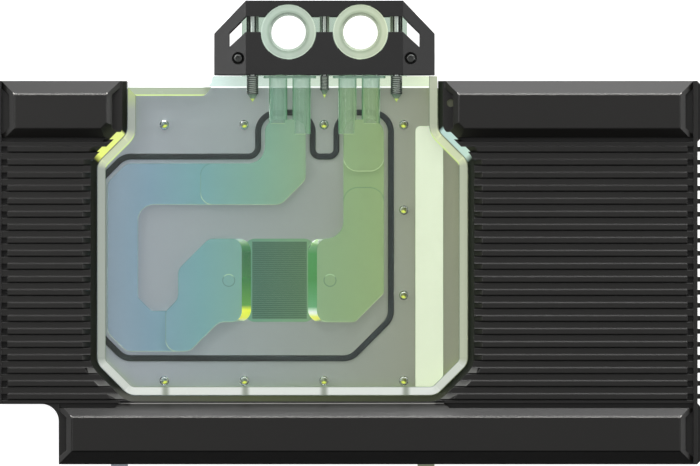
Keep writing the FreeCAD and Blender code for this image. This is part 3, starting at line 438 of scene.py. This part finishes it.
def bore_film():
    """Wall of a blind screw hole: nearly unseen, with painted shade on its sides."""
    s = film("blind_walls", bore_shading, 0.1, 0.25)
    return s.to("Alpha", s.span(s.flank(0.55, 0.9), 0.0, 1.0, 0.12, 0.8))


def lean_film(name, stops):
    """Leaning wall beside the fins, which glows as painted light from the strip, coloured from its
    lower end to its upper end.
    """
    s = film(name, lambda s: s.ramp(s.reach("Y", -14.2, 14.2), stops), 0.95, 0.7)
    return s.put(Specular_IOR_Level=0.15)


def bead_glints():
    """Drill tip of a blind hole seen from above, painted to glint like a cut stone: a pale painted
    highlight at one side, a lime painted glint, a dark painted rim, and a glow.
    """
    s = Shader("screw_beads")
    up, side = s.facing("Y", False), s.facing("X", False)
    along = s.reach("X", -39, 43)
    dark = s.mix(along, srgb(58, 76, 70), srgb(60, 70, 32))
    mid = s.mix(along, srgb(112, 132, 126), srgb(114, 124, 78))
    pale = s.mix(along, srgb(140, 158, 156), srgb(134, 144, 106))
    tone = s.mix(s.noise(900, 1), dark, mid)
    tone = s.mix(s.times(s.span(up, -0.2, 0.35), s.span(side, 0.2, -0.4)), tone, pale)
    glint = s.math("ADD", up, s.times(side, s.reach("X", -39, 43, -0.45, 0.3)))
    tone = s.mix(s.span(glint, -0.16, -0.4), tone, srgb(224, 238, 104))
    # Painted shade: a dark rim round the base of the tip.
    tone = s.mix(s.reach("Z", 15.45, 15.15), tone, srgb(34, 46, 34))
    s.to("Base Color", s.mix(0.7, tone, BLACK))
    s.roughness(s.noise(700, 2), 0.26, 0.34)
    return s.put(Specular_IOR_Level=0.08, IOR=1.05).glow(tone, 0.85)


def blind_tip(name, end):
    """Tapered end of a terminal screw's hole, with a painted lime glint at the point, painted shade
    on its sides and a glow.
    """
    s = Shader(name)
    tone = s.ramp(s.reach("Y", end, end + 2.7), [
        (0.0, srgb(176, 202, 100)), (0.36, srgb(222, 240, 130)), (0.5, srgb(120, 142, 118)),
        (1.0, srgb(92, 112, 98))])
    tone = s.mix(s.flank(0.75, 0.97), tone, srgb(62, 84, 66))
    s.to("Base Color", tone)
    s.roughness(s.noise(700, 2), 0.2, 0.3)
    return s.put(Alpha=0.9).glow(tone, 0.45)


# Terminal block

# Frosted acrylic whose colour also glows as painted light.
def frosted(name, tint, rough, transmission, strength):
    s = Shader(name)
    tone = tint(s)
    s.to("Base Color", tone)
    s.roughness(s.noise(3200, 2), rough - 0.04, rough + 0.04)
    return s.put(Transmission_Weight=transmission, IOR=1.49).glow(tone, strength)


def terminal_tint(s):
    return s.ramp(s.reach("X", -10, 40), [
        (0.0, srgb(168, 186, 174)), (0.35, srgb(172, 186, 172)), (1.0, srgb(184, 194, 166))])


def ring_shading(s):
    """Frosted face round each port, with painted shading: painted highlights at the bore and the
    rim, painted shade between.
    """
    across = s.math("SUBTRACT", s.gap("X", PORT_MID), PORT_HALF * MM)
    out = s.length(across, s.offset("Y", PORT_Y))
    shade = s.ramp(s.span(out, 5.9 * MM, 9.3 * MM), [
        (0.0, (0.95, 0.95, 0.95)), (0.16, (0.7, 0.7, 0.7)), (0.3, (0.68, 0.72, 0.68)),
        (0.5, (0.92, 0.92, 0.92)), (0.86, (0.9, 0.9, 0.9)), (0.94, (1.2, 1.2, 1.2)),
        (1.0, (1.2, 1.2, 1.2))])
    return s.mix(1.0, terminal_tint(s), shade, "MULTIPLY")


def port_thread_finish():
    """The pipe thread in each port, cut as a spiral in the surface of the bore."""
    s = frosted("port_threads", terminal_tint, 0.25, 0.4, 0.45)
    right = s.past("X", PORT_MID)
    parts = []
    for side, share in ((-1, s.math("SUBTRACT", 1.0, right)), (1, right)):
        dx, dy = s.offset("X", PORT_MID + side * PORT_HALF), s.offset("Y", PORT_Y)
        angle = s.math("DIVIDE", s.math("ARCTAN2", dy, dx), 2 * math.pi)
        rise = s.math("ADD", s.math("DIVIDE", s.axis("Z"), PORT_PITCH * MM), angle)
        parts.append(s.times(s.math("PINGPONG", rise, 0.5), share))
    s.bump(s.math("ADD", *parts), 0.8, 0.001)
    return s


# Metals, rubber and plastics

def nickel():
    s = Shader("nickel_plate")
    tone = s.ramp(s.reach("X", -66, 66), [
        (0.0, srgb(216, 223, 238)), (0.35, srgb(210, 224, 226)), (0.6, srgb(206, 218, 208)),
        (1.0, srgb(206, 210, 172))])
    cloud = s.span(s.noise(14, 2), 0.3, 0.7, 0.0, 0.15)
    s.to("Base Color", s.mix(cloud, tone, (0.6, 0.64, 0.62)))
    s.roughness(s.noise(1200, 2), 0.28, 0.32)
    return s.put(Metallic=1.0)


# Nickel fins and pool seen through the chambers, glowing green as painted light from the strip.
def fin_glow(name, left, right, strength):
    s = Shader(name)
    tone = s.ramp(s.reach("X", -10, 10), [(0.0, left), (1.0, right)])
    s.to("Base Color", tone)
    s.roughness(s.noise(1.0, 2, s.scaled(60, 3500, 60)), 0.35, 0.45)
    return s.put(Metallic=0.6).glow(tone, strength)


def steel(name, shade, rough):
    s = Shader(name)
    lines = s.noise(1.0, 2, s.scaled(2500, 400, 2500))
    s.to("Base Color", s.mix(lines, scale_shade(shade, 0.85), scale_shade(shade, 1.1)))
    s.roughness(lines, rough - 0.05, rough + 0.08)
    return s.put(Metallic=1.0)


def thread_steel(name, x, root, crest):
    """Steel of a screw along Y, with painted shade in the roots of its thread and down its sides, a
    painted highlight down the middle of its plain shank, and a painted glow.
    """
    s = Shader(name)
    dx = s.offset("X", x)
    out = s.length(dx, s.offset("Z", MID))
    thread = s.span(out, root * MM, crest * MM)
    tone = s.mix(thread, (0.02, 0.028, 0.022), (0.72, 0.78, 0.72))
    head = s.span(out, (crest + 0.2) * MM, (crest + 0.3) * MM)
    tone = s.mix(head, tone, (0.85, 0.88, 0.85))
    lean = s.math("ABSOLUTE", s.math("DIVIDE", dx, out))
    shank = s.past("Y", NECK_TOP)
    side = s.math("ADD", s.times(s.span(lean, 0.3, 0.42), shank),
                  s.times(s.span(lean, 0.5, 0.85), s.math("SUBTRACT", 1.0, shank)))
    tone = s.mix(shank, tone, (1.0, 0.94, 1.0))
    tone = s.mix(side, tone, (0.02, 0.026, 0.021))
    s.to("Base Color", tone)
    s.roughness(s.noise(1500, 2), 0.3, 0.4)
    return s.put(Metallic=1.0).glow(tone, 0.3)


def rubber(name, shade, rough, glow=0.0):
    s = Shader(name)
    grain = s.noise(1800, 4)
    s.to("Base Color", s.mix(grain, scale_shade(shade, 0.8), scale_shade(shade, 1.3)))
    s.roughness(grain, rough, rough + 0.1)
    s.bump(grain, 0.15, 0.00003)
    s.put(Specular_IOR_Level=0.3)
    return s.glow(shade, glow) if glow else s


def pad_finish():
    s = Shader("pad_finish")
    weave = s.add("ShaderNodeTexVoronoi")
    weave.inputs["Scale"].default_value = 1400
    s.link(s.coords, weave.inputs["Vector"])
    cloud = s.noise(90, 4)
    s.to("Base Color", s.mix(cloud, (0.26, 0.3, 0.34), (0.36, 0.4, 0.43)))
    s.roughness(cloud, 0.65, 0.85)
    s.bump(weave.outputs["Distance"], 0.2, 0.00005)
    return s


def diffuser_finish():
    s = Shader("diffuser_finish")
    tone = s.ramp(s.reach("Y", -38, 53), [(0.0, srgb(221, 231, 203)), (1.0, srgb(222, 232, 206))])
    s.to("Base Color", tone)
    s.roughness(s.noise(700, 3), 0.4, 0.55)
    return s.glow(tone, 0.4)


def plastic(name, shade, rough, glow=0.0):
    s = Shader(name)
    grain = s.noise(1500, 3)
    s.to("Base Color", s.mix(grain, scale_shade(shade, 0.93), scale_shade(shade, 1.05)))
    s.roughness(grain, rough - 0.05, rough + 0.05)
    return s.glow(shade, glow) if glow else s


black = anodised("black_anodised", (0.0074, 0.007, 0.0064), 0.32, 0.0003, line=23.0)
# Painted light: the ribs' ends at the lower corners glow pale grey.
lit_ramp = anodised("lit_ramp", (0.03, 0.03, 0.029), 0.35).glow(srgb(88, 88, 86), 1.0)
# A darker, duller copy of the black as painted shade on the lower bar's lower slope.
dark_slope = anodised("dark_slope", (0.004, 0.004, 0.0038), 0.5, 0.0003)
dark_slope.put(Specular_IOR_Level=0.12)
cover_black = anodised("cover_black", (0.0054, 0.0054, 0.0054), 0.4, 0.0002)
acrylic = clear("clear_acrylic", (0.985, 0.995, 0.985))
left_lean = lean_film("left_ramp", [
    (0.0, srgb(226, 238, 214)), (0.05, srgb(240, 246, 90)), (0.14, srgb(228, 236, 56)),
    (0.2, srgb(76, 138, 42)), (0.5, srgb(36, 106, 40)), (0.82, srgb(22, 86, 44)),
    (0.9, srgb(66, 118, 78)), (1.0, srgb(150, 182, 138))])
right_lean = lean_film("right_ramp", [
    (0.0, srgb(236, 240, 120)), (0.06, srgb(240, 246, 96)), (0.11, srgb(238, 248, 240)),
    (0.18, srgb(96, 156, 110)), (0.5, srgb(66, 132, 70)), (0.82, srgb(70, 136, 76)),
    (0.9, srgb(104, 148, 108)), (1.0, srgb(150, 186, 104))])


# Which finish each CAD face takes. The face rules get the face's centre in mm from the chip's
# centre, the height of its highest corner and its normal, and give the finish's number.

def finish_faces(node, finishes, choose):
    mesh = nodes[node].data
    mesh.materials.clear()
    for finish in finishes:
        mesh.materials.append(finish.material)
    for face in mesh.polygons:
        x, y, z = face.center / MM
        crown = max(mesh.vertices[index].co.z for index in face.vertices) / MM
        face.material_index = choose(x - CHIP_X, y - CHIP_Y, z, crown, face.normal)


def plain(finish, *names):
    for name in names:
        finish_faces(name, [finish], lambda *place: 0)


FLOW_TOP = [acrylic, bevel_finish(), film("channel_roof", roof_glow, 0.8, 0.52, 0.0005), tubes(),
            left_lean, right_lean, bead_glints(), bore_film(), blind_tip("side_screw_tip", 60.7),
            blind_tip("middle_screw_tip", 62.1), neck_floor(),
            film("channel_walls", channel_glow, 0.8, 0.45)]
(CLEAR, BEVEL, ROOF, TUBE, LEFT_LEAN, RIGHT_LEAN, BEAD, BORE, SIDE_TIP, MIDDLE_TIP, UNDERSIDE,
 WALL) = range(len(FLOW_TOP))
TUBE_PLACES = (-0.4, 7.55, 23.15, 31.1)


def flow_top_face(x, y, z, crown, normal):
    if z > TOP_FACE - 3 and 0.3 < normal.z < 0.95:
        return BEVEL
    if z < PLATE_TOP + 0.02:
        return UNDERSIDE
    if any(math.hypot(x - a, y - b) < 1.7 for a, b in SCREW_HOLES) and z < 16.1:
        return BEAD if abs(normal.z) > 0.1 and crown > 15.5 else CLEAR
    # Slot of the light strip
    if 45.5 < x < 56.5 and -38.5 < y < 53.2 and z < 14.2:
        return CLEAR
    # Grooves of the oval seals, then the drillings that start in them
    below_top = y < NECK_TOP - 0.05
    in_oval = -6.5 < x < 12.7 or 18 < x < 37.2
    if NECK_TOP - 0.75 < y and below_top and abs(z - MID) < 5 and in_oval:
        return TUBE
    if y > 50 and abs(z - MID) < 3.3 and below_top and abs(normal.y) < 0.3:
        flat_roof = abs(z - 16.5) < 0.05 and normal.z < -0.99
        if not flat_roof and any(abs(x - hole) < 3.3 for hole in TUBE_PLACES):
            return TUBE
    for index, (hole, radius, end) in enumerate(TERMINAL_HOLES):
        reach = radius + 0.1
        if abs(x - hole) < reach and abs(z - MID) < reach and 60 < y and below_top:
            if y < end:
                return MIDDLE_TIP if index == 1 else SIDE_TIP
            return BORE
    # Groove of the main seal
    if crown < 9.7:
        return CLEAR
    if 9.4 < abs(x) < 13.1 and abs(y) < 14.25 and 0.2 < abs(normal.x) and -0.95 < normal.z < -0.1:
        return LEFT_LEAN if x < 0 else RIGHT_LEAN
    # Chambers
    if -60 < x < 37.2 and -26 < y < 56 and z < 16.6:
        return ROOF if normal.z < -0.9 else WALL
    return CLEAR


def plate_face(x, y, z, crown, normal):
    """Fin tops are 1, the gaps between them 2 and the sunk pool round them 3."""
    if abs(x) < 9.35 and abs(y) < 13.25 and 4.9 < z < 8.1 and normal.z > 0.9:
        return 1 if z > 7.9 else 2
    return 3 if abs(x) < 12.4 and abs(y) < 14.3 and 4.9 < z < 7.9 else 0


def terminal_face(x, y, z, crown, normal):
    """Frosted faces are 0, port threads 1, the rest of the block 2 and its screw bores 3."""
    for hole, radius, end in TERMINAL_HOLES:
        if abs(x - hole) < radius + 0.8 and abs(z - MID) < radius + 0.8:
            return 3
    for centre in (PORT_MID - PORT_HALF, PORT_MID + PORT_HALF):
        out = math.hypot(x - centre, y - PORT_Y)
        if 5.7 < out < 6.1 and abs(normal.z) < 0.2 and abs(z - MID) > 4.4:
            return 1
        if out < 6.7 or (out < 9.4 and abs(z - MID) > 9.3):
            return 0
    return 2


def shroud_face(x, y, z, crown, normal):
    """The band round the window is 1, the ribs' lit ends 2 and the lower bar's lower slope 3."""
    rib_end = 0.65 < normal.z < 0.76 and abs(normal.x) > 0.3 and normal.y > 0.2
    if rib_end and y < -28 and 16.5 < z < 19.6:
        return 2
    if normal.y < -0.4 and normal.z > 0.3 and y < -50 and z > 18:
        return 3
    return 1 if 0.78 < normal.z < 0.9 and 16.0 < z < 18.0 else 0


finish_faces("shroud", [black, window_band(), lit_ramp, dark_slope], shroud_face)
finish_faces("cold_plate", [
    nickel(),
    fin_glow("fin_tops", srgb(82, 120, 106), srgb(92, 124, 94), 0.54),
    # The gaps between the fins are darker as painted shade.
    fin_glow("fin_gaps", srgb(66, 100, 84), srgb(74, 106, 78), 0.54),
    fin_glow("pool_floor", srgb(112, 156, 134), srgb(126, 162, 126), 0.56),
], plate_face)
finish_faces("flow_top", FLOW_TOP, flow_top_face)
finish_faces("terminal_block", [
    frosted("frosted_acrylic", ring_shading, 0.22, 0.3, 0.24),
    port_thread_finish(),
    clear("terminal_acrylic", (0.4, 0.5, 0.42), 0.03),
    acrylic,
], terminal_face)
plain(cover_black, "terminal_cover_front", "terminal_cover_rear")
plain(rubber("seal_rubber", (0.016, 0.032, 0.03), 0.4), "main_gasket")
# The oval seals glow green as painted light.
plain(rubber("oval_seal", srgb(36, 84, 54), 0.5, 0.8), "terminal_gasket_left",
      "terminal_gasket_right")
plain(steel("dark_steel", (0.09, 0.093, 0.09), 0.3), "cover_screw_left", "cover_screw_right",
      "shroud_screws")
plain(steel("bright_steel", (0.55, 0.56, 0.54), 0.28), "flow_top_screws")
plain(steel("standoff_brass", (0.72, 0.56, 0.3), 0.3), "chip_standoffs", "edge_standoffs")
plain(pad_finish(), "memory_pad_left", "memory_pad_right", "memory_pad_top", "power_pad_left",
      "power_pad_right")
plain(diffuser_finish(), "light_diffuser")
plain(plastic("light_board", (0.8, 0.82, 0.78), 0.5), "light_board")
plain(plastic("light_chips", (0.9, 0.92, 0.7), 0.25, 0.6), "light_chips")
plain(plastic("light_socket", (0.04, 0.04, 0.04), 0.4), "light_socket")

# The clear pieces touch what they sit on, so each is drawn in by a hair for clean refraction.
for name in ("flow_top", "terminal_block"):
    weld = nodes[name].modifiers.new("weld", "WELD")
    weld.merge_threshold = 0.000001
    hair = nodes[name].modifiers.new("hair", "DISPLACE")
    hair.strength = -0.00002
    hair.mid_level = 0.0


# Screws with cut threads, in place of the plain CAD screws

SIDES = 40
STEPS_A_TURN = 7
HEAD_HEIGHT = 3.2
HEAD_EDGE = 0.35


def threaded_screw(name, node, x, pitch, crest, root, head_radius):
    """Socket head cap screw along Y, with a helical thread, inside the CAD screw's own box."""
    low, high = (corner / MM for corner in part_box(node))
    seat = high.y - HEAD_HEIGHT
    socket = head_radius * 0.5
    mesh = bmesh.new()

    def ring(y, radius_at):
        made = []
        for i in range(SIDES):
            angle = 2 * math.pi * i / SIDES
            r = radius_at(angle)
            place = Vector((CHIP_X + x + r * math.cos(angle), y, MID + r * math.sin(angle)))
            made.append(mesh.verts.new(place * MM))
        return made

    def thread_at(y):
        if y > CHIP_Y + NECK_TOP:
            return lambda angle: crest - 0.03

        def radius_at(angle):
            turn = (y / pitch - angle / (2 * math.pi)) % 1.0
            return root + (crest - root) * max(0.0, 1 - abs(turn - 0.5) * 2.2)
        return radius_at

    def hexagonal(angle):
        corner = (angle % (math.pi / 3)) - math.pi / 6
        return socket * math.cos(math.pi / 6) / math.cos(corner)

    rings = [ring(low.y, lambda angle: root * 0.8)]
    steps = int((seat - low.y) / (pitch / STEPS_A_TURN))
    for step in range(1, steps):
        y = low.y + (seat - low.y) * step / steps
        rings.append(ring(y, thread_at(y)))
    for y, r in ((seat, root), (seat, head_radius - 0.1), (seat + 0.15, head_radius),
                 (high.y - HEAD_EDGE, head_radius), (high.y, head_radius - HEAD_EDGE)):
        rings.append(ring(y, lambda angle, r=r: r))
    rings.append(ring(high.y, hexagonal))
    rings.append(ring(high.y - HEAD_HEIGHT * 0.5, hexagonal))
    for one, two in zip(rings, rings[1:]):
        for i in range(SIDES):
            j = (i + 1) % SIDES
            mesh.faces.new((one[i], one[j], two[j], two[i]))
    mesh.faces.new(rings[0][::-1])
    mesh.faces.new(rings[-1])
    bmesh.ops.recalc_face_normals(mesh, faces=mesh.faces)
    data = bpy.data.meshes.new(name)
    mesh.to_mesh(data)
    mesh.free()
    screw = bpy.data.objects.new(name, data)
    bpy.context.scene.collection.objects.link(screw)
    data.materials.append(thread_steel(name + "_steel", x, root, crest).material)
    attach(screw, "root")
    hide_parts(node)


places = [x for x, radius, end in TERMINAL_HOLES]
threaded_screw("left_cap_screw", "terminal_screw_left", places[0], 0.7, 1.95, 1.6, 3.4)
threaded_screw("middle_cap_screw", "terminal_screw_middle", places[1], 0.5, 1.45, 1.2, 2.75)
threaded_screw("right_cap_screw", "terminal_screw_right", places[2], 0.7, 1.95, 1.6, 3.4)


# Floor, light and camera

def floor():
    """Pale paper glowing as a painted pool of light: brighter below the part and past its terminal
    than at the sides and to -Y.
    """
    data = bpy.data.meshes.new("floor")
    half = 30.0
    corners = [(-half, -half, 0), (half, -half, 0), (half, half, 0), (-half, half, 0)]
    data.from_pydata(corners, [], [(0, 1, 2, 3)])
    made = bpy.data.objects.new("floor", data)
    made.location.z = -0.0002
    bpy.context.scene.collection.objects.link(made)
    s = Shader("floor_paper")
    s.roughness(s.noise(300, 3), 0.85, 0.95)
    across = s.span(s.math("ABSOLUTE", s.axis("X")), 0.3, 0.13, smooth=True)
    front = s.span(s.axis("Y"), -0.14, -0.084, smooth=True)
    s.to("Emission Strength", s.span(s.times(across, front), 0.0, 1.0, 0.24, 0.95))
    s.put(Base_Color=(0.5, 0.5, 0.5, 1.0), Emission_Color=(1.0, 1.0, 1.0, 1.0))
    data.materials.append(s.material)


def sky():
    """Pale studio surround: bright towards +Y, dimmer overhead, dark at the sides and to -Y."""
    world = bpy.data.worlds.new("studio")
    world.use_nodes = True
    bpy.context.scene.world = world
    tree = world.node_tree
    coords = tree.nodes.new("ShaderNodeTexCoord")
    split = tree.nodes.new("ShaderNodeSeparateXYZ")
    tree.links.new(coords.outputs["Generated"], split.inputs[0])
    along = map_range(tree, split.outputs["Y"], 0.0, 0.9, 0.04, 0.95, smooth=True)
    above = map_range(tree, split.outputs["Z"], 0.3, 1.0, 0.0, 0.34, smooth=True)
    total = tree.nodes.new("ShaderNodeMath")
    total.operation = "ADD"
    tree.links.new(along, total.inputs[0])
    tree.links.new(above, total.inputs[1])
    back = tree.nodes["Background"]
    tree.links.new(total.outputs[0], back.inputs["Strength"])
    back.inputs["Color"].default_value = (1.0, 1.0, 1.0, 1.0)


# Name, place in metres, size in metres and power in watts; each light looks at the frame's origin
LIGHTS = [
    ("back_softbox", (0.3, 0.75, 0.16), (0.9, 0.3), 5.7),
    ("left_softbox", (-0.5, 0.6, 0.3), (0.4, 0.3), 1.5),
    ("overhead_softbox", (-0.1, 0.4, 0.6), (0.9, 0.25), 1.8),
    ("edge_strip", (0.0, 0.9, 0.66), (1.4, 0.15), 4.0),
    ("right_softbox", (0.75, 0.05, 0.18), (0.4, 0.2), 1.0),
    ("low_left_softbox", (-0.75, 0.15, 0.18), (0.4, 0.2), 0.35),
    ("left_wing_light", (-0.6, 0.1, 0.8), (0.4, 0.3), 2.2),
    ("right_wing_light", (0.6, 0.1, 0.8), (0.4, 0.3), 1.2),
]


def area(name, place, size, power):
    data = bpy.data.lights.new(name, "AREA")
    data.shape = "RECTANGLE"
    data.size, data.size_y = size
    data.energy = power
    light = bpy.data.objects.new(name, data)
    light.location = place
    light.rotation_euler = (-Vector(place)).to_track_quat("-Z", "Y").to_euler()
    bpy.context.scene.collection.objects.link(light)


floor()
sky()
for light in LIGHTS:
    area(*light)

scene = bpy.context.scene
scene.view_settings.view_transform = "Standard"
scene.view_settings.look = "None"

# A long lens from straight in front; the picture is FRAME_WIDTH wide at SHARP_HEIGHT, in metres.
LENS = 500
SENSOR = 36
FRAME_WIDTH = 0.238
SHARP_HEIGHT = 0.022
camera_data = bpy.data.cameras.new("camera")
camera_data.sensor_width = SENSOR
camera_data.lens = LENS
camera_data.clip_end = 100
camera = bpy.data.objects.new("camera", camera_data)
camera.location = (0.00004, 0.00082, SHARP_HEIGHT + FRAME_WIDTH * LENS / SENSOR)
camera.rotation_euler = (0, 0, 0)
scene.collection.objects.link(camera)
scene.camera = camera
